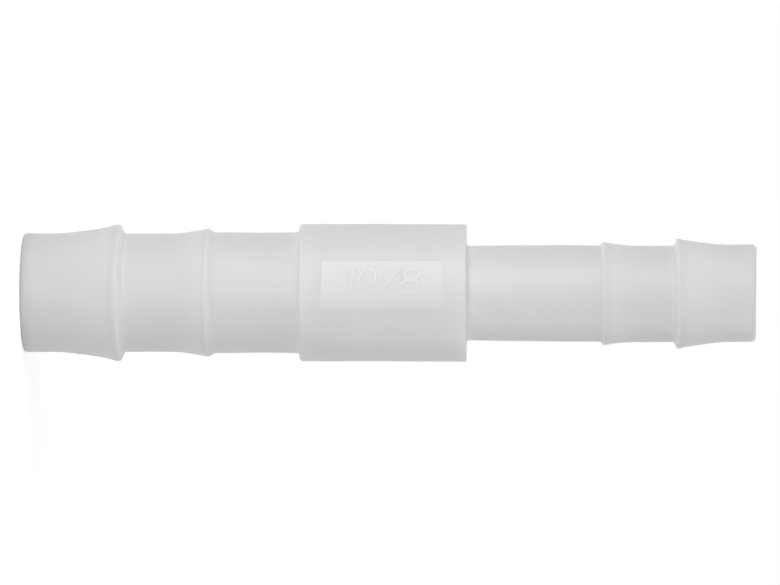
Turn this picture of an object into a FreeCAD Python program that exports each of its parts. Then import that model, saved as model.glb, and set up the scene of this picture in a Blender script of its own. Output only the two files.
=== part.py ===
import FreeCAD, Part
import math
import os
import Sketcher

# Barbed hose reducer, moulded in one piece, standing on its large end.
# The bore axis is Z. The size figures face -Y, the front, and read upwards along the part.
# The origin is on the bore axis, in the plane of the large end. All sizes are in millimetres.
# Every sketch lies upright and faces the front. Its places are given as a height and a way to the left.

NODE = "reducer_body"

LARGE_LEG_LENGTHS = {
    "large_lip_length": 2.85,
    "large_end_ramp_length": 4.85,
    "large_end_land_length": 0.45,
    "large_end_back_length": 0.3,
    "large_neck_length": 4.65,
    "large_inner_ramp_length": 2.5,
    "large_inner_back_length": 0.45,
    "large_shank_length": 7.15,
}
COLLAR_LENGTHS = {
    "collar_length": 14.0,
}
SMALL_LEG_LENGTHS = {
    "small_shank_length": 11.2,
    "small_inner_back_length": 0.3,
    "small_inner_ramp_length": 3.1,
    "small_neck_length": 2.8,
    "small_end_back_length": 0.3,
    "small_end_land_length": 0.25,
    "small_end_ramp_length": 3.45,
    "small_lip_length": 2.9,
}
STEMS = {
    "large_stem_diameter": 10.0,
    "large_wall": 1.4,
    "small_stem_diameter": 8.1,
    "small_wall": 1.35,
}
RISES = {
    "large_end_barb_rise": 0.75,
    "large_inner_barb_rise": 0.4,
    "large_shank_rise": 0.075,
    "collar_rise": 0.775,
    "small_root_sink": 0.075,
    "small_inner_barb_rise": 0.3,
    "small_end_barb_rise": 0.55,
}
EDGES = {
    "bore_cone_length": 0.9,
    "bore_cone_cover": 1.5,
    "mouth_chamfer": 0.3,
    "lip_radius": 0.4,
    "collar_edge_radius": 0.2,
    "root_radius": 0.15,
    "ramp_blend_radius": 8.0,
}
LABEL = {
    "label_length": 10.2,
    "label_width": 4.1,
    "label_rise": 0.09,
    "figure_relief": 0.12,
    "figure_stroke": 0.3,
    "figure_height": 2.35,
    "figure_rise": 0.28,
    "figure_lean": 0.5,
    "one_place": -2.53,
    "one_flag_length": 0.45,
    "zero_place": -1.2,
    "zero_width": 1.65,
    "slash_place": 0.65,
    "slash_run": 1.55,
    "eight_place": 2.4,
    "eight_upper_width": 1.55,
    "eight_upper_height": 1.2,
    "eight_lower_width": 1.75,
}
LENGTHS = LARGE_LEG_LENGTHS | COLLAR_LENGTHS | SMALL_LEG_LENGTHS


def make_sheet(doc):
    """The spreadsheet of driving sizes, one alias to a row."""
    sheet = doc.addObject("Spreadsheet::Sheet", "Sizes")
    sizes = LENGTHS | STEMS | RISES | EDGES | LABEL
    for row, (name, value) in enumerate(sizes.items(), start=1):
        sheet.set(f"A{row}", name)
        sheet.set(f"B{row}", str(value))
        sheet.setAlias(f"B{row}", name)
    doc.recompute()
    return sheet


def size(name):
    """The expression that reads one size."""
    return f"Sizes.{name}"


def half(name):
    """The expression for half of one size, such as a radius from a diameter."""
    return f"Sizes.{name} / 2"


def total(names):
    """The expression for several lengths end to end."""
    return "(" + " + ".join(size(name) for name in names) + ")"


def end_of(start, lengths, name):
    """The expression for the height at which one of the lengths that follow start ends."""
    names = list(lengths)
    return f"{start} + {total(names[: names.index(name) + 1])}"


LARGE_END = "0"
SMALL_END = total(LENGTHS)
COLLAR_START = total(LARGE_LEG_LENGTHS)
COLLAR_END = f"{COLLAR_START} + {size('collar_length')}"
COLLAR_MIDDLE = f"{COLLAR_START} + {half('collar_length')}"
CONE_END = f"{COLLAR_END} - {size('bore_cone_cover')}"
CONE_START = f"{CONE_END} - {size('bore_cone_length')}"

LARGE_STEM = half("large_stem_diameter")
LARGE_END_BARB = f"{LARGE_STEM} + {size('large_end_barb_rise')}"
LARGE_INNER_BARB = f"{LARGE_STEM} + {size('large_inner_barb_rise')}"
LARGE_SHANK = f"{LARGE_STEM} + {size('large_shank_rise')}"
LARGE_BORE = f"{LARGE_STEM} - {size('large_wall')}"
COLLAR = f"{LARGE_STEM} + {size('collar_rise')}"
SMALL_STEM = half("small_stem_diameter")
SMALL_ROOT = f"{SMALL_STEM} - {size('small_root_sink')}"
SMALL_INNER_BARB = f"{SMALL_STEM} + {size('small_inner_barb_rise')}"
SMALL_END_BARB = f"{SMALL_STEM} + {size('small_end_barb_rise')}"
SMALL_BORE = f"{SMALL_STEM} - {size('small_wall')}"
LABEL_FACE = f"{COLLAR} + {size('label_rise')}"
FIGURE_FACE = f"{LABEL_FACE} + {size('figure_relief')}"


def value_of(doc, expression):
    """The number that an expression of sizes stands for."""
    return float(doc.getObject("Sizes").evalExpression(expression))


def stations(start, lengths):
    """The expressions for a height and for the end of each length that follows it."""
    return [start] + [end_of(start, lengths, name) for name in lengths]


def new_sketch(body, name):
    """An empty sketch on the body's own upright plane that faces the front."""
    plane = next(item for item in body.Origin.OriginFeatures if item.Role == "XZ_Plane")
    sketch = body.newObject("Sketcher::SketchObject", name)
    sketch.AttachmentSupport = [(plane, "")]
    sketch.MapMode = "FlatFace"
    return sketch


def tie(sketch, kind, *places, to):
    """Adds a dimension to the sketch and binds it to an expression of sizes."""
    value = value_of(sketch.Document, to)
    index = sketch.addConstraint(Sketcher.Constraint(kind, *places, value))
    sketch.setExpression(f"Constraints[{index}]", to)


def tie_point(sketch, edge, end, height, left):
    """Dimensions one end or centre of an edge from the sketch's origin."""
    tie(sketch, "DistanceX", -1, 1, edge, end, to=f"-({left})")
    tie(sketch, "DistanceY", -1, 1, edge, end, to=height)


def point_at(sketch, height, left):
    """The sketch point that two expressions stand for."""
    doc = sketch.Document
    return FreeCAD.Vector(-value_of(doc, left), value_of(doc, height), 0)


def hollow_arc(start, end):
    """The arc that sinks towards the axis from start to end and is upright at end."""
    climb = end.y - start.y
    sink = end.x - start.x
    radius = (climb**2 + sink**2) / (2 * sink)
    circle = Part.Circle(end - FreeCAD.Vector(radius, 0, 0), FreeCAD.Vector(0, 0, 1), radius)
    return Part.ArcOfCircle(circle, circle.parameter(start), circle.parameter(end))


def draw_outline(sketch, corners, hollow_sides=()):
    """A closed outline through corners given as pairs of expressions.

    The sides listed as hollow are arcs, each tangent to the side after it.
    """
    points = [point_at(sketch, height, left) for height, left in corners]
    following = points[1:] + points[:1]
    for side, (start, end) in enumerate(zip(points, following)):
        edge = hollow_arc(start, end) if side in hollow_sides else Part.LineSegment(start, end)
        sketch.addGeometry(edge, False)
    for side in range(len(points)):
        joint = "Tangent" if side in hollow_sides else "Coincident"
        sketch.addConstraint(Sketcher.Constraint(joint, side, 2, (side + 1) % len(points), 1))
    for side, (height, left) in enumerate(corners):
        tie_point(sketch, side, 1, height, left)


def outer_corners():
    """The corners of the half section left of the axis, and the number of the side that is hollow."""
    large_leg_radii = [
        LARGE_STEM,
        LARGE_STEM,
        LARGE_END_BARB,
        LARGE_END_BARB,
        LARGE_STEM,
        LARGE_STEM,
        LARGE_INNER_BARB,
        LARGE_SHANK,
        LARGE_SHANK,
    ]
    collar_radii = [COLLAR, COLLAR]
    small_leg_radii = [
        SMALL_ROOT,
        SMALL_STEM,
        SMALL_INNER_BARB,
        SMALL_STEM,
        SMALL_STEM,
        SMALL_END_BARB,
        SMALL_END_BARB,
        SMALL_STEM,
        SMALL_STEM,
    ]
    side_corners = [
        *zip(stations(LARGE_END, LARGE_LEG_LENGTHS), large_leg_radii),
        *zip([COLLAR_START, COLLAR_END], collar_radii),
        *zip(stations(COLLAR_END, SMALL_LEG_LENGTHS), small_leg_radii),
    ]
    before_small_leg = len(large_leg_radii + collar_radii)
    hollow_side = before_small_leg + list(SMALL_LEG_LENGTHS).index("small_inner_ramp_length")
    return side_corners + [(SMALL_END, "0"), (LARGE_END, "0")], hollow_side


def turn_outside(body):
    """The solid outside form: lips, ramps, barbs, shanks and the collar."""
    sketch = new_sketch(body, "outer_section")
    corners, hollow_side = outer_corners()
    draw_outline(sketch, corners, hollow_sides=[hollow_side])
    turned = body.newObject("PartDesign::Revolution", "outside")
    turned.Profile = sketch
    turned.ReferenceAxis = (sketch, ["V_Axis"])
    turned.Angle = 360
    sketch.Visibility = False
    body.Document.recompute()


def cut_bore(body):
    """The through bore: the large and the small bore, joined by a cone under the collar."""
    volume = body.Shape.Volume
    sketch = new_sketch(body, "bore_section")
    corners = [
        (LARGE_END, LARGE_BORE),
        (CONE_START, LARGE_BORE),
        (CONE_END, SMALL_BORE),
        (SMALL_END, SMALL_BORE),
        (SMALL_END, "0"),
        (LARGE_END, "0"),
    ]
    draw_outline(sketch, corners)
    bore = body.newObject("PartDesign::Groove", "bore")
    bore.Profile = sketch
    bore.ReferenceAxis = (sketch, ["V_Axis"])
    bore.Angle = 360
    sketch.Visibility = False
    body.Document.recompute()
    if not body.Shape.Volume < volume:
        raise RuntimeError("the bore took nothing away")


def rings(body, places):
    """The names of the round edges at the given places, each a pair of expressions for height and radius."""
    doc = body.Document
    wanted = [(value_of(doc, height), value_of(doc, radius)) for height, radius in places]
    names = []
    for number, edge in enumerate(body.Tip.Shape.Edges, start=1):
        curve = edge.Curve
        if not isinstance(curve, Part.Circle):
            continue
        found = (curve.Center.z, curve.Radius)
        if any(max(abs(a - b) for a, b in zip(found, ring)) < 1e-6 for ring in wanted):
            names.append(f"Edge{number}")
    if len(names) != len(wanted):
        raise RuntimeError(f"{len(names)} round edges found where {len(wanted)} were expected")
    return names


def dress(body, kind, name, places, amount):
    """A fillet or chamfer on round edges, its size bound to the sheet."""
    base = body.Tip
    names = rings(body, places)
    feature = body.newObject(kind, name)
    feature.Base = (base, names)
    prop = "Radius" if kind.endswith("Fillet") else "Size"
    feature.setExpression(prop, amount)
    body.Document.recompute()


def raise_from_wall(body, name, draw, face):
    """A form on the collar's front, drawn inside the wall and raised beyond the round face it is to end on."""
    sketch = new_sketch(body, name)
    sketch.setExpression("AttachmentOffset.Base.z", LARGE_STEM)
    draw(sketch)
    raised = body.newObject("PartDesign::Pad", f"{name}_raised")
    raised.Profile = sketch
    raised.setExpression("Length", f"{face} - {LARGE_STEM} + {size('figure_relief')}")
    sketch.Visibility = False
    body.Document.recompute()


def trim_round(body, name, face):
    """Takes away what stands out of a round face over the collar."""
    volume = body.Shape.Volume
    sketch = new_sketch(body, f"{name}_section")
    beyond = f"{face} + {half('label_width')}"
    draw_outline(sketch, [(COLLAR_START, face), (COLLAR_END, face), (COLLAR_END, beyond), (COLLAR_START, beyond)])
    trimmed = body.newObject("PartDesign::Groove", name)
    trimmed.Profile = sketch
    trimmed.ReferenceAxis = (sketch, ["V_Axis"])
    trimmed.Angle = 360
    sketch.Visibility = False
    body.Document.recompute()
    if not body.Shape.Volume < volume:
        raise RuntimeError(f"{name} took nothing away")


def dress_edges(body):
    """Rounds the lips, collar, roots and ramp feet, and chamfers the bore's mouths."""
    fillet = "PartDesign::Fillet"
    ramp_feet = [
        (end_of(LARGE_END, LARGE_LEG_LENGTHS, "large_lip_length"), LARGE_STEM),
        (end_of(LARGE_END, LARGE_LEG_LENGTHS, "large_neck_length"), LARGE_STEM),
        (end_of(COLLAR_END, SMALL_LEG_LENGTHS, "small_end_ramp_length"), SMALL_STEM),
    ]
    dress(body, fillet, "ramp_blends", ramp_feet, size("ramp_blend_radius"))
    roots = [(COLLAR_START, LARGE_SHANK), (COLLAR_END, SMALL_ROOT)]
    dress(body, fillet, "collar_roots", roots, size("root_radius"))
    collar_edges = [(COLLAR_START, COLLAR), (COLLAR_END, COLLAR)]
    dress(body, fillet, "collar_edges", collar_edges, size("collar_edge_radius"))
    lips = [(LARGE_END, LARGE_STEM), (SMALL_END, SMALL_STEM)]
    dress(body, fillet, "lip_edges", lips, size("lip_radius"))
    mouths = [(LARGE_END, LARGE_BORE), (SMALL_END, SMALL_BORE)]
    dress(body, "PartDesign::Chamfer", "bore_mouths", mouths, size("mouth_chamfer"))


def draw_label(sketch):
    """The oblong of the label, seen from the front."""
    lower = f"{COLLAR_MIDDLE} - {half('label_length')}"
    upper = f"{COLLAR_MIDDLE} + {half('label_length')}"
    left = half("label_width")
    right = f"-{left}"
    draw_outline(sketch, [(lower, left), (upper, left), (upper, right), (lower, right)])


def draw_stroke(sketch, start, end, width):
    """A stroke with round ends between two points, each a pair of expressions."""
    radius = value_of(sketch.Document, width) / 2
    first = point_at(sketch, *start)
    last = point_at(sketch, *end)
    along = (last - first).normalize()
    aside = FreeCAD.Vector(-along.y, along.x, 0) * radius
    outwards = FreeCAD.Vector(0, 0, 1)
    heading = math.atan2(aside.y, aside.x)
    near_end = Part.ArcOfCircle(Part.Circle(first, outwards, radius), heading, heading + math.pi)
    far_end = Part.ArcOfCircle(Part.Circle(last, outwards, radius), heading - math.pi, heading)
    near_side = Part.LineSegment(first - aside, last - aside)
    far_side = Part.LineSegment(last + aside, first + aside)
    edges = (near_end, near_side, far_end, far_side)
    begin = sketch.GeometryCount
    for edge in edges:
        sketch.addGeometry(edge, False)
    for side in range(len(edges)):
        ends = (begin + side, 2, begin + (side + 1) % len(edges), 1)
        sketch.addConstraint(Sketcher.Constraint("Tangent", *ends))
    tie_point(sketch, begin, 3, *start)
    tie_point(sketch, begin + 2, 3, *end)
    tie(sketch, "Radius", begin, to=f"({width}) / 2")


def draw_oval(sketch, start, end, width):
    """A ring one stroke wide, drawn as a wide stroke with a narrower one taken out of it."""
    draw_stroke(sketch, start, end, width)
    draw_stroke(sketch, start, end, f"{width} - 2 * {size('figure_stroke')}")


def leaning(place, rise="0", onward="0"):
    """A point of a figure, from the figure's place on the line, its rise above the line and its way onward."""
    lean = f"{size('figure_lean')} / {size('figure_height')}"
    height = f"{COLLAR_MIDDLE} + {size(place)} + ({rise}) * {lean} + ({onward})"
    return height, f"{size('figure_rise')} + ({rise})"


def draw_plain_figures(sketch):
    """The stem of the 1, the 0, the slash and the upper bowl of the 8, which stand clear of each other."""
    stroke = size("figure_stroke")
    reach = f"({size('figure_height')} - {stroke}) / 2"
    draw_stroke(sketch, leaning("one_place", f"-{reach}"), leaning("one_place", reach), stroke)
    bow = f"({size('figure_height')} - {size('zero_width')}) / 2"
    draw_oval(sketch, leaning("zero_place", f"-{bow}"), leaning("zero_place", bow), size("zero_width"))
    run = f"({size('slash_run')} - {size('figure_lean')}) / 2"
    slash_foot = leaning("slash_place", f"-{reach}", f"-{run}")
    slash_head = leaning("slash_place", reach, run)
    draw_stroke(sketch, slash_foot, slash_head, stroke)
    bowl = size("eight_upper_height")
    rise = f"({size('figure_height')} - {bowl}) / 2"
    reach_aside = f"({size('eight_upper_width')} - {bowl}) / 2"
    before = leaning("eight_place", rise, f"-{reach_aside}")
    beyond = leaning("eight_place", rise, reach_aside)
    draw_oval(sketch, before, beyond, bowl)


def draw_joined_figures(sketch):
    """The flag of the 1 and the lower bowl of the 8, which run into what stands above or beside them."""
    stroke = size("figure_stroke")
    reach = f"({size('figure_height')} - {stroke}) / 2"
    flag = size("one_flag_length")
    flag_end = leaning("one_place", f"{reach} - {flag}", f"-{flag}")
    draw_stroke(sketch, flag_end, leaning("one_place", reach), stroke)
    bowl = f"({size('figure_height')} - {size('eight_upper_height')} + {stroke})"
    sink = f"-({size('figure_height')} - {bowl}) / 2"
    reach_aside = f"({size('eight_lower_width')} - {bowl}) / 2"
    before = leaning("eight_place", sink, f"-{reach_aside}")
    beyond = leaning("eight_place", sink, reach_aside)
    draw_oval(sketch, before, beyond, bowl)


def raise_label(body):
    """The low round-faced label on the collar's front, with the size figures 10/8 raised from it."""
    raise_from_wall(body, "label", draw_label, LABEL_FACE)
    trim_round(body, "label_face", LABEL_FACE)
    raise_from_wall(body, "plain_figures", draw_plain_figures, FIGURE_FACE)
    raise_from_wall(body, "joined_figures", draw_joined_figures, FIGURE_FACE)
    trim_round(body, "figure_face", FIGURE_FACE)


def make_reducer(doc):
    """The whole reducer, one solid."""
    body = doc.addObject("PartDesign::Body", NODE)
    body.Label = NODE
    turn_outside(body)
    cut_bore(body)
    dress_edges(body)
    raise_label(body)
    return body


def check(doc, bodies):
    """Stops on a failed object or a bad shape before anything is written."""
    for item in doc.Objects:
        if "Invalid" in item.State or "Error" in item.State:
            raise RuntimeError(f"{item.Name} failed: {item.State}")
    for body in bodies:
        if body.Shape.isNull() or not body.Shape.isValid() or len(body.Shape.Solids) != 1:
            raise RuntimeError(f"{body.Label} isn't one valid solid")


doc = FreeCAD.newDocument("hose_reducer")
make_sheet(doc)
bodies = [make_reducer(doc)]
doc.recompute()
check(doc, bodies)
os.makedirs("parts", exist_ok=True)
for body in bodies:
    body.Shape.exportStep(f"parts/{body.Label}.step")
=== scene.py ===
import math

import bpy
import numpy as np
from bpy.props import FloatProperty, FloatVectorProperty, PointerProperty
from bpy.types import Operator, Panel, PropertyGroup
from mathutils import Matrix, Vector


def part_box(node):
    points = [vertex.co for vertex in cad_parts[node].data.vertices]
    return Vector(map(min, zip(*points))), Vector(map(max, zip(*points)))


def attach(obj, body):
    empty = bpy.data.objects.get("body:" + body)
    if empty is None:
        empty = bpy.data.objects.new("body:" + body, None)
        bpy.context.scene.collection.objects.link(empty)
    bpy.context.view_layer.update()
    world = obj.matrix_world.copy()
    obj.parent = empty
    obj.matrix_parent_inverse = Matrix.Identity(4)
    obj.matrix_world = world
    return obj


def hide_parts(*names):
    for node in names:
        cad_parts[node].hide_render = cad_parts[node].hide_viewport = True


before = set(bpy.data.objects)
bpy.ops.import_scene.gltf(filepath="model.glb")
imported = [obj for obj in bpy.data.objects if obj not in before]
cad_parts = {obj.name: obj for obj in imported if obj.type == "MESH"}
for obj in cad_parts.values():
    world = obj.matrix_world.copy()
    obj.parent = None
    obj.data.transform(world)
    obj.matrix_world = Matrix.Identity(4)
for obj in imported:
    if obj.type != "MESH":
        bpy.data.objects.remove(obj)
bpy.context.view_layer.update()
FOOT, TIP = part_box("reducer_body")

bl_info = {
    "name": "Barbed Hose Reducer",
    "version": (1, 0, 0),
    "blender": (4, 5, 0),
    "location": "View3D > Sidebar > Reducer",
    "description": "A moulded hose reducer with its size label, in a plain studio",
    "category": "Add Mesh",
}

MM = 0.001
TAU = 2 * math.pi

# The main sizes in millimetres. The length is the solid's.
LENGTH = round(TIP.z / MM, 3)
COLLAR_RADIUS = 5.775
COLLAR_FOOT = 23.2
COLLAR_TOP = 37.2
LARGE_RADIUS = 5.0
LARGE_BARB_RADIUS = 5.765
LARGE_BORE_RADIUS = 3.6
SMALL_RADIUS = 4.05
SMALL_BARB_RADIUS = 4.61
SMALL_END_RADIUS = 4.085
SMALL_BORE_RADIUS = 2.7
# Rings wider than this belong to the outside, and narrower ones to the bore and its rims.
OUTSIDE_RADIUS = 3.8

# The hollow ramps of two barbs: height and radius at the lower end, then at the upper end.
LARGE_RAMP = ((2.785, LARGE_RADIUS), (7.68, LARGE_BARB_RADIUS))
SMALL_RAMP = ((48.68, 4.35), (51.8, SMALL_RADIUS))

# The section's corners in millimetres, up the outside and down the bore: radius, height and rounding.
LARGE_LEG_CORNERS = (
    (3.9, 0.0, 0.08),
    (LARGE_RADIUS, 0.0, 0.2),
    (LARGE_RADIUS, 2.785, 5.0),
)
LARGE_BARB_CORNERS = (
    (LARGE_BARB_RADIUS, 7.68, 0.06),
    (LARGE_BARB_RADIUS, 8.12, 0.07),
    (5.005, 8.46, 0.07),
    (4.985, 10.6, 20.0),
    (LARGE_RADIUS, 13.1, 8.0),
    (5.4, 15.55, 0.05),
    (5.09, 16.03, 0.1),
    (5.05, 20.4, 40.0),
    (5.09, COLLAR_FOOT, 0.28),
)
COLLAR_CORNERS = (
    (COLLAR_RADIUS, COLLAR_FOOT, 0.26),
    (COLLAR_RADIUS, COLLAR_TOP, 0.1),
)
SMALL_LEG_CORNERS = (
    (3.97, COLLAR_TOP, 0.2),
    (4.01, 40.4, 60.0),
    (SMALL_RADIUS, 45.2, 60.0),
    (4.04, 48.42, 0.06),
    (4.35, 48.68, 0.05),
)
SMALL_END_CORNERS = (
    (4.045, 54.58, 0.05),
    (SMALL_BARB_RADIUS, 54.86, 0.06),
    (SMALL_BARB_RADIUS, 55.14, 0.08),
    (4.525, 55.34, 0.2),
    (4.13, 58.1, 5.0),
    (SMALL_END_RADIUS, 59.0, 8.0),
    (SMALL_END_RADIUS, LENGTH, 0.38),
    (3.0, LENGTH, 0.08),
    (SMALL_BORE_RADIUS, LENGTH - 0.3, 0.1),
)
BORE_CORNERS = (
    (SMALL_BORE_RADIUS, 35.7, 0.3),
    (LARGE_BORE_RADIUS, 34.8, 0.3),
    (LARGE_BORE_RADIUS, 0.3, 0.1),
)

# Where the figures stand, in millimetres from the label's middle: up the collar, and around it towards +X.
FIGURES_ALONG = (-3.1, 3.55)
FIGURES_AROUND = (-1.76, 1.1)
# How far the bent axis lies off to the side, towards +X: height and distance in millimetres.
BEND = ((30.0, 0.01), (38.0, 0.05), (46.0, 0.07), (52.5, 0.13), (55.0, 0.1), (LENGTH, 0.05))
# The small end is out of square from this height up, by these slopes along X and Y.
SLANT_START = 58.6
SLANT_X = -0.0134
SLANT_Y = 0.045
# How far the sine of a point's angle falls short of 1 where the parting ridge has mostly sunk away.
RIDGE_SPREAD = 0.00012

# The camera's place and the point that it looks at, in millimetres, and its lens.
CAMERA_SPOT = (53.3, -433.7, 41.7)
CAMERA_TARGET = (0.0, 0.0, 30.77)
CAMERA_LENS = 240.0

# The softboxes: the azimuth in degrees, then in metres the height above the floor, the distance from the axis
# and the box's width and depth, and last whether it shows in reflections.
SOFTBOXES = {
    "key": (-126, 0.034, 0.13, 0.1, 0.046, True),
    "front": (-88, 0.012, 0.13, 0.065, 0.03, True),
    "fill": (-9, 0.056, 0.13, 0.1, 0.046, True),
    "back": (118, 0.04, 0.13, 0.05, 0.046, False),
    "top": (-90, 0.2, 0.03, 0.1, 0.1, True),
}


class REDUCER_PG_moulding(PropertyGroup):
    """Sizes of the size label and its figures, and of the moulding's small faults."""

    label_centre: FloatProperty(
        name="Label Centre", description="Height of the size label's middle",
        default=30.24 * MM, unit="LENGTH",
    )
    label_length: FloatProperty(
        name="Label Length", description="Length of the size label along the collar",
        default=10.2 * MM, unit="LENGTH",
    )
    label_angle: FloatProperty(
        name="Label Angle", description="Angle that the size label takes up around the collar",
        default=math.radians(41.4), subtype="ANGLE",
    )
    label_rise: FloatProperty(
        name="Label Rise", description="Height of the size label above the collar",
        default=0.05 * MM, unit="LENGTH",
    )
    figure_relief: FloatProperty(
        name="Figure Relief", description="Height of the figures above the label",
        default=0.12 * MM, unit="LENGTH",
    )
    figure_stroke: FloatProperty(
        name="Figure Stroke", description="Width of the figures' strokes",
        default=0.3 * MM, unit="LENGTH",
    )
    parting_ridge: FloatProperty(
        name="Parting Ridge", description="Height of the fine ridge where the mould's halves met",
        default=0.012 * MM, unit="LENGTH",
    )
    waviness: FloatProperty(
        name="Waviness", description="Height of the slow waves in the outside",
        default=0.004 * MM, unit="LENGTH",
    )


class REDUCER_PG_plastic(PropertyGroup):
    """Colour, tones, painted light and shade, and gloss of the natural plastic."""

    colour: FloatVectorProperty(
        name="Colour", description="Colour of the natural plastic",
        default=(0.78, 0.78, 0.78), size=3, min=0.0, max=1.0, subtype="COLOR",
    )
    roughness: FloatProperty(
        name="Roughness", description="Roughness of the satin surface",
        default=0.42, min=0.0, max=1.0, subtype="FACTOR",
    )
    milkiness: FloatProperty(
        name="Milkiness", description="How much light goes into the plastic before it comes back",
        default=1.0, min=0.0, max=1.0, subtype="FACTOR",
    )
    cloudiness: FloatProperty(
        name="Cloudiness", description="How far the cloudy flow goes to the paler and the darker side",
        default=0.015, min=0.0, max=1.0, subtype="FACTOR",
    )
    speck_tone: FloatProperty(
        name="Speck Tone", description="How much darker the plastic is in a speck",
        default=0.04, min=0.0, max=1.0, subtype="FACTOR",
    )
    # Painted highlight: the base colour is made paler on the size label, standing in for its stronger gloss.
    label_painted_highlight: FloatProperty(
        name="Label Tone", description="How much paler the plastic is on the size label",
        default=0.03, min=0.0, max=1.0, subtype="FACTOR",
    )
    # Painted highlight: the base colour is made paler on the figures' ridges, standing in for their gloss.
    figure_painted_highlight: FloatProperty(
        name="Figure Tone", description="How much paler the plastic is on the figures",
        default=0.08, min=0.0, max=1.0, subtype="FACTOR",
    )
    # Painted light: the base colour is made paler in the roots of the steps, where shade falls.
    root_painted_light: FloatProperty(
        name="Root Tone", description="How much paler the plastic gets in the roots of the steps",
        default=0.45, min=0.0, max=1.0, subtype="FACTOR",
    )
    # Painted light: the base colour is made paler on the ramps, which tilt away from the lamps.
    ramp_painted_light: FloatProperty(
        name="Ramp Tone", description="How much paler the plastic gets with the slope of a ramp",
        default=0.32, min=0.0, max=1.0, subtype="FACTOR",
    )
    # Painted light: the base colour is made paler at the foot's rim, which the floor shades.
    foot_painted_light: FloatProperty(
        name="Foot Tone", description="How much paler the plastic gets at the foot's rim",
        default=0.22, min=0.0, max=1.0, subtype="FACTOR",
    )
    # Painted shade: the base colour is made darker at the crests of the steps, where light gathers in the
    # plastic.
    crest_painted_shade: FloatProperty(
        name="Crest Tone", description="How much darker the plastic gets at the crests of the steps",
        default=0.28, min=0.0, max=1.0, subtype="FACTOR",
    )
    # The most painted light that roots, ramps and foot add to the base colour.
    most_painted_light: FloatProperty(
        name="Palest Tone", description="The most that roots, ramps and foot make the plastic paler",
        default=0.25, min=0.0, max=1.0, subtype="FACTOR",
    )


class REDUCER_PG_studio(PropertyGroup):
    """The plain studio around the reducer."""

    key_power: FloatProperty(
        name="Key Power", description="Power of the softbox to the left of the camera, in watts",
        default=0.0615, min=0.0, unit="POWER",
    )
    front_power: FloatProperty(
        name="Front Power", description="Power of the softbox by the camera, in watts",
        default=0.03, min=0.0, unit="POWER",
    )
    fill_power: FloatProperty(
        name="Fill Power", description="Power of the softbox to the right of the camera, in watts",
        default=0.038, min=0.0, unit="POWER",
    )
    back_power: FloatProperty(
        name="Back Power", description="Power of the softbox behind the reducer, in watts",
        default=0.058, min=0.0, unit="POWER",
    )
    top_power: FloatProperty(
        name="Top Power", description="Power of the softbox above the reducer, in watts",
        default=0.05, min=0.0, unit="POWER",
    )
    surround: FloatProperty(
        name="Surround", description="Level of the soft light from all around",
        default=0.3, min=0.0, max=1.0, subtype="FACTOR",
    )
    floor_colour: FloatVectorProperty(
        name="Floor Colour", description="Colour of the pale floor",
        default=(0.7, 0.7, 0.7), size=3, min=0.0, max=1.0, subtype="COLOR",
    )


def fillet_points(corners, steps=5, most=0.45):
    """A closed outline with each corner rounded.

    At a corner, the arc starts and ends at radius / tan(half the corner's angle) from it, but no further
    than the most share of the shorter side. Its centre lies on the bisector, and its points swing evenly
    from one side to the other.
    """
    points = corners[:, :2]
    radii = corners[:, 2]
    before = np.roll(points, 1, axis=0) - points
    after = np.roll(points, -1, axis=0) - points
    sides = np.minimum(np.linalg.norm(before, axis=1), np.linalg.norm(after, axis=1))
    before /= np.linalg.norm(before, axis=1)[:, None]
    after /= np.linalg.norm(after, axis=1)[:, None]
    half_angle = 0.5 * np.arccos(np.clip((before * after).sum(axis=1), -1, 1))
    reach = np.minimum(radii / np.tan(half_angle), most * sides)
    radii = reach * np.tan(half_angle)
    inward = before + after
    inward /= np.linalg.norm(inward, axis=1)[:, None]
    centres = points + inward * (radii / np.sin(half_angle))[:, None]
    across = after - inward * (after * inward).sum(axis=1)[:, None]
    across /= np.linalg.norm(across, axis=1)[:, None]
    swing = np.linspace(-1, 1, steps)[None, :] * (math.pi / 2 - half_angle)[:, None]
    arcs = (
        centres[:, None, :]
        - inward[:, None, :] * (radii[:, None] * np.cos(swing))[..., None]
        + across[:, None, :] * (radii[:, None] * np.sin(swing))[..., None]
    )
    return arcs.reshape(-1, 2)


def ramp_points(ends, climb, steps=10, rounding=3.0):
    """Corners along a ramp, with the share of the rise that climb gives at each even step of the run."""
    (low_height, low_radius), (high_height, high_radius) = ends
    share = np.linspace(0, 1, steps + 1)[1:-1]
    heights = low_height + (high_height - low_height) * share
    radii = low_radius + (high_radius - low_radius) * climb(share)
    return np.stack([radii, heights, np.full(len(share), rounding)], axis=1)


def large_climb(share):
    """The large barb's ramp: hollow at its foot, and steepest just before the crest.

    Four fifths of it are the share to the power of 1.25, and a fifth is the share to the power of 7.
    """
    return 0.8 * share**1.25 + 0.2 * share**7


def small_climb(share):
    """The small inner barb's ramp, which falls hollow and ends level.

    It is 1 less the rest of the share, 1 - share, to the power of 2.2.
    """
    return 1 - (1 - share) ** 2.2


def outline():
    """The closed half section: up the outside, over the small end and down the bore."""
    corners = np.concatenate([
        np.array(LARGE_LEG_CORNERS),
        ramp_points(LARGE_RAMP, large_climb),
        np.array(LARGE_BARB_CORNERS),
        np.array(COLLAR_CORNERS),
        np.array(SMALL_LEG_CORNERS),
        ramp_points(SMALL_RAMP, small_climb),
        np.array(SMALL_END_CORNERS),
        np.array(BORE_CORNERS),
    ])
    return fillet_points(corners)


def spread(low, high, step):
    """Even places from low to high, no further apart than step."""
    return np.linspace(low, high, int(math.ceil((high - low) / step)) + 1)


def label_rows(centre, length):
    """Heights of the rings across the size label: close at its end walls and over its figures."""
    low = centre - length / 2
    high = centre + length / 2
    by_wall = np.array([-0.1, -0.06, -0.04, -0.025, -0.01, 0.01, 0.025, 0.04, 0.06, 0.1])
    first, last = FIGURES_ALONG
    return np.concatenate([
        low + by_wall,
        high + by_wall,
        spread(low + 0.15, centre + first - 0.05, 0.15),
        spread(centre + first, centre + last, 0.05),
        spread(centre + last + 0.1, high - 0.15, 0.15),
    ])


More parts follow.
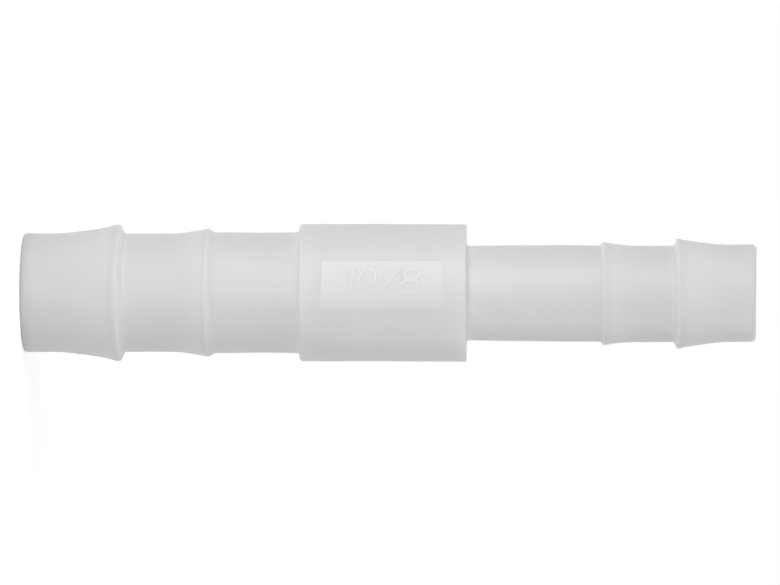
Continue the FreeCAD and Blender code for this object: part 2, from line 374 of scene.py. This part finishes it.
def section_rows(centre, length):
    """Radius and height of each ring, in order along the closed section.

    The rings lie close together on rounded corners and on the size label, wider on plain stretches of the
    outside and widest in the bore. Places closer than the least gap are left out.
    """
    outside_step = 0.5
    bore_step = 2.5
    least_gap = 0.012
    points = outline()
    closed = np.concatenate([points, points[:1]])
    radius, height = closed.T
    way = np.concatenate([[0.0], np.cumsum(np.linalg.norm(np.diff(closed, axis=0), axis=1))])
    collar_start = np.argmax((radius > COLLAR_RADIUS - 0.001) & (height > COLLAR_FOOT))
    on_label = way[collar_start] + label_rows(centre, length) - height[collar_start]
    tip = way[np.argmax(height)]
    places = np.sort(np.concatenate([
        way[:-1],
        on_label,
        spread(0, tip, outside_step),
        spread(tip, way[-1], bore_step)[1:-1],
    ]))
    places = places[np.concatenate([[True], np.diff(places) > least_gap])]
    return np.interp(places, way, radius), np.interp(places, way, height)


def columns(radius, half_angle):
    """Angles of the upright lines, from the front towards +X, close over the label and at the ridges."""
    edge = radius * half_angle
    by_wall = np.array([-0.12, -0.08, -0.05, -0.025, 0.0, 0.025, 0.05, 0.08, 0.12])
    first, last = FIGURES_AROUND
    across = np.concatenate([
        by_wall - edge,
        spread(0.2 - edge, first - 0.04, 0.07),
        spread(first, last, 0.05),
        spread(last + 0.06, edge - 0.2, 0.07),
        by_wall + edge,
    ])
    front = across / radius
    step = math.radians(4.5)
    by_ridge = np.array([-0.02, 0.0, 0.02])
    right = 0.25 * TAU
    left = 0.75 * TAU
    return np.concatenate([
        front,
        spread(front[-1], right - step / 2, step)[1:],
        right + by_ridge,
        spread(right + step / 2, left - step / 2, step),
        left + by_ridge,
        spread(left + step / 2, TAU + front[0], step)[:-1],
    ])


def smooth(edge_low, edge_high, value):
    """An S-curve from 0 at the low edge to 1 at the high edge.

    With the share of the way between the edges, it is the share's square times 3 less twice the share.
    """
    share = np.clip((value - edge_low) / (edge_high - edge_low), 0, 1)
    return share * share * (3 - 2 * share)


def stroke_distance(along, up, start, end):
    """Distance of each point from the straight line between two points.

    The nearest point of the line is where the point's way from the start, laid along the line, ends.
    """
    run = np.array(end) - np.array(start)
    share = ((along - start[0]) * run[0] + (up - start[1]) * run[1]) / (run @ run)
    share = np.clip(share, 0, 1)
    return np.hypot(along - start[0] - share * run[0], up - start[1] - share * run[1])


def oval_distance(along, up, centre, width, height, lean):
    """Distance of each point from the middle line of a leaning oval, near enough for a thin stroke.

    The point is put in the oval's own leaning axes, and its distance from the unit circle is scaled back.
    """
    least = 1e-3
    rise = up - centre[1]
    onward = along - centre[0] - rise * lean
    scaled = np.hypot(onward / (width / 2), rise / (height / 2))
    steep = np.hypot(onward / (width / 2) ** 2, rise / (height / 2) ** 2)
    return np.abs(scaled - 1) * np.maximum(scaled, least) / np.maximum(steep, least)


def figure_relief(along, up, stroke):
    """Height of the size figures as a share of their relief: 1 on a stroke, falling to 0 beside it.

    The relief is worn: it fades towards the feet of the figures and towards the 1. The strokes are round
    ridges, at most 0.8 of the stroke's width away from their middle line.
    """
    lean = 0.21
    middle = 0.28
    foot = middle - 1.02
    head = middle + 1.02
    nearest = np.minimum.reduce([
        stroke_distance(along, up, (-2.76, foot), (-2.34, head)),
        stroke_distance(along, up, (-2.34, head), (-2.78, head - 0.4)),
        oval_distance(along, up, (-1.28, middle), 1.36, 2.06, lean),
        stroke_distance(along, up, (-0.08, foot), (1.38, head)),
        oval_distance(along, up, (2.46, middle + 0.55), 1.26, 0.92, lean),
        oval_distance(along, up, (2.24, middle - 0.5), 1.48, 1.12, lean),
    ])
    wear = 0.25 + 0.75 * smooth(-0.6, 0.6, up) * smooth(-3.4, -1.8, along)
    return wear * (1 - smooth(0.1 * stroke, 0.8 * stroke, nearest))


def label_share(along, up, half_long, half_wide):
    """1 on the size label and 0 off it, with crisp walls except at the far end, where it fades out."""
    crisp = 0.07
    soft = 0.3
    fade = np.where(along > 0, soft, crisp)
    beyond_end = np.abs(along) - half_long
    beyond_side = np.abs(up) - half_wide
    return (1 - smooth(-fade, fade, beyond_end)) * (1 - smooth(-crisp, crisp, beyond_side))


def size_label(radius, turn, height, sizes):
    """Shares of the size label and of its figures at each point of the collar's face, and 0 elsewhere.

    A point's place on the label is its height from the label's middle, and its way around the collar.
    """
    skin = 0.075
    margin = 0.3
    along = height - sizes.label_centre / MM
    up = -COLLAR_RADIUS * ((turn + math.pi) % TAU - math.pi)
    half_long = 0.5 * sizes.label_length / MM
    half_wide = 0.5 * sizes.label_angle * COLLAR_RADIUS
    on_face = (radius > COLLAR_RADIUS - skin) & (np.abs(along) < half_long + margin)
    label = label_share(along, up, half_long, half_wide)
    figures = figure_relief(along, up, sizes.figure_stroke / MM)
    return np.where(on_face, label, 0), np.where(on_face, figures, 0)


def mould_faults(radius, turn, height, sizes):
    """What the mould's faults add to the radius outside: a fine ridge up both sides, and slow waves.

    The ridge is a bell curve over how far the sine of the angle falls short of 1. The waves are two products
    of a sine along the height and one around the axis, and leave the foot's rim alone.
    """
    ridge = np.exp(-((np.abs(np.sin(turn)) - 1) / RIDGE_SPREAD) ** 2)
    waves = np.sin(0.9 * height + 1.3) * np.sin(2 * turn + 0.4) + np.sin(0.37 * height) * np.cos(3 * turn)
    waves = waves * (height > 0.5)
    return (radius > OUTSIDE_RADIUS) * (ridge * sizes.parting_ridge + waves * sizes.waviness) / MM


def shelter(radius, height):
    """How closely each ring is overlooked: 0 in the open, 1 against an upright shoulder.

    It is the steepest line from the ring up to any other ring, no more than 1 mm up, as a share of a right
    angle.
    """
    rise = np.clip(radius[None, :] - radius[:, None], 0, 1)
    run = np.abs(height[None, :] - height[:, None])
    return np.arctan2(rise, run + 1e-6).max(axis=1) / (0.25 * TAU)


def evened(values, height, reach, places=25):
    """Values of the rings, each replaced by the mean over even places within reach of its height."""
    order = np.argsort(height, kind="stable")
    near = height[:, None] + np.linspace(-reach, reach, places)[None, :]
    return np.interp(near, height[order], values[order]).mean(axis=1)


def crest(radius, height):
    """How sharply each ring stands proud of the section on both sides: the geometric mean of its two slopes.

    Each slope is the fall of the radius over the next 0.6 mm, up or down the outside.
    """
    reach = 0.6
    order = np.argsort(height, kind="stable")
    above = np.clip((radius - np.interp(height + reach, height[order], radius[order])) / reach, 0, 1)
    below = np.clip((radius - np.interp(height - reach, height[order], radius[order])) / reach, 0, 1)
    return np.sqrt(above * below)


def section_tilt(radius, height):
    """How far the section leans at each ring: 0 along the axis, and 1 across it, as the sine of the angle."""
    step_out = np.abs(np.roll(radius, -1) - np.roll(radius, 1))
    step_up = np.abs(np.roll(height, -1) - np.roll(height, 1))
    return step_out / np.hypot(step_out, step_up)


def ring_painted_shading(radius, height, tones):
    """Painted light and shade at each ring of the outside, and 0 in the bore: how much paler or darker the
    base colour is made, to stand in for light and shade.

    It is the sum of the painted light in the roots, their tone times their shelter to the power of 5, the
    painted light on the ramps, their tone times their tilt, which counts up to 0.16 and fades out on steeper
    faces, and the painted light at the foot's rim, less the painted shade at the crests, their tone times
    their sharpness. The sum is held at the most painted light.
    """
    most_tilt = 0.16
    ramp_reach = 0.8
    crest_reach = 0.3
    foot_height = 0.35
    outside = radius > OUTSIDE_RADIUS
    tilt = section_tilt(radius, height)[outside]
    radius = radius[outside]
    height = height[outside]
    ramp = np.minimum(tilt, most_tilt) * smooth(0.6, 0.3, tilt)
    # Painted light in the roots, on the ramps and at the foot, less painted shade at the crests.
    share = (
        tones.root_painted_light * shelter(radius, height) ** 5
        + tones.ramp_painted_light * evened(ramp, height, ramp_reach)
        + tones.foot_painted_light * smooth(foot_height, 0.0, height)
        - tones.crest_painted_shade * evened(crest(radius, height), height, crest_reach)
    )
    paleness = np.zeros(len(outside))
    paleness[outside] = np.minimum(share, tones.most_painted_light)
    return paleness


def reducer_grid(sizes, tones):
    """Points of the whole moulding on a grid of rings and upright lines, with each point's shading values.

    A ring's radius comes from the section, and the size label, its figures and the mould's faults add to it.
    A point lies at the radius times the sine of its angle along X, and at less the radius times the cosine
    along Y. The small leg bends a little towards +X, and the small end is a little out of square.
    """
    ring_radius, ring_height = section_rows(sizes.label_centre / MM, sizes.label_length / MM)
    angle = columns(COLLAR_RADIUS, 0.5 * sizes.label_angle)
    radius, turn = np.meshgrid(ring_radius, angle, indexing="ij")
    height = np.repeat(ring_height[:, None], len(angle), axis=1)
    label, figures = size_label(radius, turn, height, sizes)
    radius = radius + (label * sizes.label_rise + figures * sizes.figure_relief) / MM
    radius = radius + mould_faults(radius, turn, height, sizes)
    bend_heights, bend_distances = zip(*BEND)
    x = radius * np.sin(turn) + np.interp(height, bend_heights, bend_distances)
    y = -radius * np.cos(turn)
    slant = smooth(SLANT_START, LENGTH, height) * (SLANT_X * x + SLANT_Y * y)
    shading = {
        "label": label,
        "figures": figures,
        # Painted light and shade, ring by ring.
        "paleness": np.repeat(ring_painted_shading(ring_radius, ring_height, tones), len(angle)),
    }
    return np.stack([x, y, height + slant], axis=-1) * MM, shading


def grid_mesh(name, grid):
    """A mesh from a grid that closes on itself both ways, with its faces outwards."""
    rows, cols = grid.shape[:2]
    row, col = np.meshgrid(np.arange(rows), np.arange(cols), indexing="ij")
    next_row = (row + 1) % rows
    next_col = (col + 1) % cols
    around = ((row, col), (row, next_col), (next_row, next_col), (next_row, col))
    quads = np.stack([corner_row * cols + corner_col for corner_row, corner_col in around], axis=-1)
    quads = quads.reshape(-1, 4)
    mesh = bpy.data.meshes.new(name)
    mesh.vertices.add(rows * cols)
    mesh.vertices.foreach_set("co", grid.reshape(-1).astype(np.float32))
    mesh.loops.add(quads.size)
    mesh.loops.foreach_set("vertex_index", quads.reshape(-1).astype(np.int32))
    mesh.polygons.add(len(quads))
    mesh.polygons.foreach_set("loop_start", np.arange(0, quads.size, 4, dtype=np.int32))
    mesh.polygons.foreach_set("use_smooth", np.ones(len(quads), dtype=bool))
    mesh.update(calc_edges=True)
    mesh.validate()
    return mesh


def add_node(tree, kind, **settings):
    """A new node of a tree, with its sockets and properties set by name."""
    node = tree.nodes.new(kind)
    for name, value in settings.items():
        if hasattr(node, name):
            setattr(node, name, value)
        else:
            node.inputs[name.replace("_", " ")].default_value = value
    return node


def multiply_add(tree, value, factor, addend):
    """The output of a node that multiplies one output by a number and adds another output."""
    node = add_node(tree, "ShaderNodeMath", operation="MULTIPLY_ADD")
    tree.links.new(value, node.inputs[0])
    node.inputs[1].default_value = factor
    tree.links.new(addend, node.inputs[2])
    return node.outputs["Value"]


def new_material(name):
    """An empty material, with its tree and its output's surface socket."""
    material = bpy.data.materials.new(name)
    material.use_nodes = True
    material.node_tree.nodes.clear()
    output = add_node(material.node_tree, "ShaderNodeOutputMaterial")
    return material, material.node_tree, output.inputs["Surface"]


def plastic_material(props):
    """Natural milky plastic: a satin face with cloudy flow, a fine grain and a few specks.

    The colour is scaled by the cloudy flow, to which the specks add their tone, and the painted light and
    shade of roots, ramps, foot and crests and a painted highlight on the figures and on the label add theirs.
    The flow moves the roughness a little too, and the label is a little glossier.
    """
    material, tree, surface = new_material("natural_plastic")
    link = tree.links.new
    place = add_node(tree, "ShaderNodeTexCoord").outputs["Object"]
    shader = add_node(tree, "ShaderNodeBsdfPrincipled", IOR=1.5, Specular_IOR_Level=0.45)
    link(shader.outputs["BSDF"], surface)
    shader.inputs["Subsurface Weight"].default_value = props.milkiness
    shader.inputs["Subsurface Radius"].default_value = (1.0, 1.0, 1.0)
    shader.inputs["Subsurface Scale"].default_value = 2.0 * MM

    cloud = add_node(tree, "ShaderNodeTexNoise", Scale=260.0, Detail=4.0, Roughness=0.55)
    stretch = add_node(tree, "ShaderNodeMapping")
    stretch.inputs["Scale"].default_value = (1.0, 1.0, 0.45)
    link(place, stretch.inputs["Vector"])
    link(stretch.outputs["Vector"], cloud.inputs["Vector"])
    specks = add_node(tree, "ShaderNodeTexVoronoi", Scale=420.0)
    link(place, specks.inputs["Vector"])
    speck_map = add_node(tree, "ShaderNodeMapRange", From_Min=0.03, From_Max=0.055, To_Min=1.0, To_Max=0.0)
    link(specks.outputs["Distance"], speck_map.inputs["Value"])
    speck = speck_map.outputs["Result"]

    label = add_node(tree, "ShaderNodeAttribute", attribute_name="label").outputs["Fac"]
    figures = add_node(tree, "ShaderNodeAttribute", attribute_name="figures").outputs["Fac"]
    # The painted light and shade of roots, ramps, foot and crests.
    paleness = add_node(tree, "ShaderNodeAttribute", attribute_name="paleness").outputs["Fac"]
    flow = add_node(tree, "ShaderNodeMapRange", From_Min=0.3, From_Max=0.7)
    flow.inputs["To Min"].default_value = 1 - props.cloudiness
    flow.inputs["To Max"].default_value = 1 + props.cloudiness
    link(cloud.outputs["Fac"], flow.inputs["Value"])
    lightness = flow.outputs["Result"]
    # The specks are the plastic's own tone; the rest is painted light, painted shade and painted highlight.
    tones = (
        (speck, -props.speck_tone),
        (paleness, 1.0),
        (figures, props.figure_painted_highlight),
        (label, props.label_painted_highlight),
    )
    for mask, tone in tones:
        lightness = multiply_add(tree, mask, tone, lightness)
    colour = add_node(tree, "ShaderNodeVectorMath", operation="SCALE")
    colour.inputs[0].default_value = props.colour[:]
    link(lightness, colour.inputs["Scale"])
    link(colour.outputs["Vector"], shader.inputs["Base Color"])

    gloss = add_node(tree, "ShaderNodeMapRange", From_Min=0.3, From_Max=0.7)
    gloss.inputs["To Min"].default_value = props.roughness - 0.04
    gloss.inputs["To Max"].default_value = props.roughness + 0.05
    link(cloud.outputs["Fac"], gloss.inputs["Value"])
    link(multiply_add(tree, label, -0.06, gloss.outputs["Result"]), shader.inputs["Roughness"])

    grain = add_node(tree, "ShaderNodeTexNoise", Scale=2600.0, Detail=3.0, Roughness=0.6)
    link(place, grain.inputs["Vector"])
    bump = add_node(tree, "ShaderNodeBump", Strength=0.25, Distance=0.012 * MM)
    link(multiply_add(tree, speck, -0.8, grain.outputs["Fac"]), bump.inputs["Height"])
    link(bump.outputs["Normal"], shader.inputs["Normal"])
    return material


class REDUCER_OT_moulding(Operator):
    """Builds the whole moulding, which is one piece, with its plastic."""

    bl_idname = "reducer.moulding"
    bl_label = "Build Moulding"

    def execute(self, context):
        scene = context.scene
        grid, shading = reducer_grid(scene.reducer_moulding, scene.reducer_plastic)
        mesh = grid_mesh("reducer_moulding", grid)
        for name, values in shading.items():
            attribute = mesh.attributes.new(name, "FLOAT", "POINT")
            attribute.data.foreach_set("value", values.reshape(-1).astype(np.float32))
        mesh.materials.append(plastic_material(scene.reducer_plastic))
        piece = bpy.data.objects.new("reducer_moulding", mesh)
        scene.collection.objects.link(piece)
        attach(piece, "root")
        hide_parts("reducer_body")
        return {"FINISHED"}


def backdrop_share(tree):
    """1 for rays that show the background, as seen directly, mirrored or through glass, else 0."""
    path = add_node(tree, "ShaderNodeLightPath")
    seen = path.outputs["Is Camera Ray"]
    for name in ("Is Glossy Ray", "Is Transmission Ray"):
        either = add_node(tree, "ShaderNodeMath", operation="MAXIMUM")
        tree.links.new(seen, either.inputs[0])
        tree.links.new(path.outputs[name], either.inputs[1])
        seen = either.outputs["Value"]
    return seen


def floor_material(props):
    """A pale floor that renders white, and keeps the shadow on it.

    What it glows towards the camera grows with the distance from the reducer, as the lamps' light on it
    falls.
    """
    near = 0.02
    far = 0.15
    material, tree, surface = new_material("pale_floor")
    link = tree.links.new
    matte = add_node(tree, "ShaderNodeBsdfDiffuse")
    matte.inputs["Color"].default_value = (*props.floor_colour, 1.0)
    distance = add_node(tree, "ShaderNodeVectorMath", operation="LENGTH")
    link(add_node(tree, "ShaderNodeTexCoord").outputs["Object"], distance.inputs[0])
    level = add_node(tree, "ShaderNodeMapRange", From_Min=near, From_Max=far, To_Min=0.565, To_Max=0.81)
    link(distance.outputs["Value"], level.inputs["Value"])
    strength = add_node(tree, "ShaderNodeMath", operation="MULTIPLY")
    link(backdrop_share(tree), strength.inputs[0])
    link(level.outputs["Result"], strength.inputs[1])
    lift = add_node(tree, "ShaderNodeEmission")
    link(strength.outputs["Value"], lift.inputs["Strength"])
    both = add_node(tree, "ShaderNodeAddShader")
    link(matte.outputs["BSDF"], both.inputs[0])
    link(lift.outputs["Emission"], both.inputs[1])
    link(both.outputs["Shader"], surface)
    return material


def add_floor(context, props):
    """A wide round floor at the reducer's foot: one face whose rim is a circle of even points."""
    reach = 6.0
    turn = np.linspace(0, TAU, 96, endpoint=False)
    rim = np.stack([reach * np.cos(turn), reach * np.sin(turn), np.full(len(turn), FOOT.z)], axis=1)
    mesh = bpy.data.meshes.new("floor")
    mesh.from_pydata(rim.tolist(), [], [list(range(len(turn)))])
    mesh.materials.append(floor_material(props))
    floor = bpy.data.objects.new("floor", mesh)
    context.scene.collection.objects.link(floor)


def light_surround(context, props):
    """Even soft light from all around, and a white background."""
    world = bpy.data.worlds.new("studio")
    context.scene.world = world
    world.use_nodes = True
    tree = world.node_tree
    tree.nodes.clear()
    level = add_node(tree, "ShaderNodeMapRange", From_Min=0.0, From_Max=1.0)
    level.inputs["To Min"].default_value = props.surround
    level.inputs["To Max"].default_value = 1.0
    tree.links.new(backdrop_share(tree), level.inputs["Value"])
    background = add_node(tree, "ShaderNodeBackground")
    background.inputs["Color"].default_value = (1.0, 1.0, 1.0, 1.0)
    tree.links.new(level.outputs["Result"], background.inputs["Strength"])
    output = add_node(tree, "ShaderNodeOutputWorld")
    tree.links.new(background.outputs["Background"], output.inputs["Surface"])


def add_softbox(context, name, power, azimuth, height, distance, width, depth, mirrored):
    """A softbox that faces the reducer's middle from an azimuth, a height and a distance from the axis."""
    lamp = bpy.data.lights.new(f"{name}_softbox", "AREA")
    lamp.shape = "RECTANGLE"
    lamp.size = width
    lamp.size_y = depth
    lamp.energy = power
    lamp_object = bpy.data.objects.new(f"{name}_softbox", lamp)
    turn = math.radians(azimuth)
    spot = Vector((distance * math.cos(turn), distance * math.sin(turn), height))
    target = Vector((0, 0, 0.5 * TIP.z))
    lamp_object.location = spot
    lamp_object.rotation_euler = (target - spot).to_track_quat("-Z", "Y").to_euler()
    lamp_object.visible_camera = False
    lamp_object.visible_glossy = mirrored
    context.scene.collection.objects.link(lamp_object)


def add_camera(context):
    """The camera at the photograph's place, turned so that the reducer's axis runs across the picture."""
    spot = Vector(CAMERA_SPOT) * MM
    target = Vector(CAMERA_TARGET) * MM
    forward = (target - spot).normalized()
    right = (Vector((0, 0, 1)) - forward * forward.z).normalized()
    up = right.cross(forward)
    camera = bpy.data.cameras.new("camera")
    camera.sensor_width = 36.0
    camera.lens = CAMERA_LENS
    camera.clip_start = 0.01
    camera.clip_end = 50.0
    camera_object = bpy.data.objects.new("camera", camera)
    turn = Matrix((right, up, -forward)).transposed()
    camera_object.matrix_world = Matrix.Translation(spot) @ turn.to_4x4()
    context.scene.collection.objects.link(camera_object)
    context.scene.camera = camera_object


class REDUCER_OT_studio(Operator):
    """Builds the floor, the light and the camera."""

    bl_idname = "reducer.studio"
    bl_label = "Build Studio"

    def execute(self, context):
        props = context.scene.reducer_studio
        add_floor(context, props)
        light_surround(context, props)
        for name, place in SOFTBOXES.items():
            add_softbox(context, name, getattr(props, f"{name}_power"), *place)
        add_camera(context)
        context.scene.view_settings.view_transform = "Standard"
        return {"FINISHED"}


class REDUCER_PT_panel(Panel):
    """Lists the pieces and their settings."""

    bl_idname = "REDUCER_PT_panel"
    bl_label = "Hose Reducer"
    bl_space_type = "VIEW_3D"
    bl_region_type = "UI"
    bl_category = "Reducer"

    def draw(self, context):
        groups = (
            (context.scene.reducer_moulding, REDUCER_OT_moulding),
            (context.scene.reducer_plastic, None),
            (context.scene.reducer_studio, REDUCER_OT_studio),
        )
        for group, operator in groups:
            box = self.layout.box()
            for name in group.__annotations__:
                box.prop(group, name)
            if operator:
                box.operator(operator.bl_idname)


CLASSES = (
    REDUCER_PG_moulding,
    REDUCER_PG_plastic,
    REDUCER_PG_studio,
    REDUCER_OT_moulding,
    REDUCER_OT_studio,
    REDUCER_PT_panel,
)
GROUPS = {
    "reducer_moulding": REDUCER_PG_moulding,
    "reducer_plastic": REDUCER_PG_plastic,
    "reducer_studio": REDUCER_PG_studio,
}


def register():
    """Registers the classes, and puts the groups of settings on the scene."""
    for item in CLASSES:
        bpy.utils.register_class(item)
    for name, group in GROUPS.items():
        setattr(bpy.types.Scene, name, PointerProperty(type=group))


def unregister():
    """Takes the groups of settings off the scene, and the classes away."""
    for name in GROUPS:
        delattr(bpy.types.Scene, name)
    for item in reversed(CLASSES):
        bpy.utils.unregister_class(item)


def main():
    """Builds the scene."""
    register()
    bpy.ops.reducer.moulding()
    bpy.ops.reducer.studio()


if __name__ == "__main__":
    main()
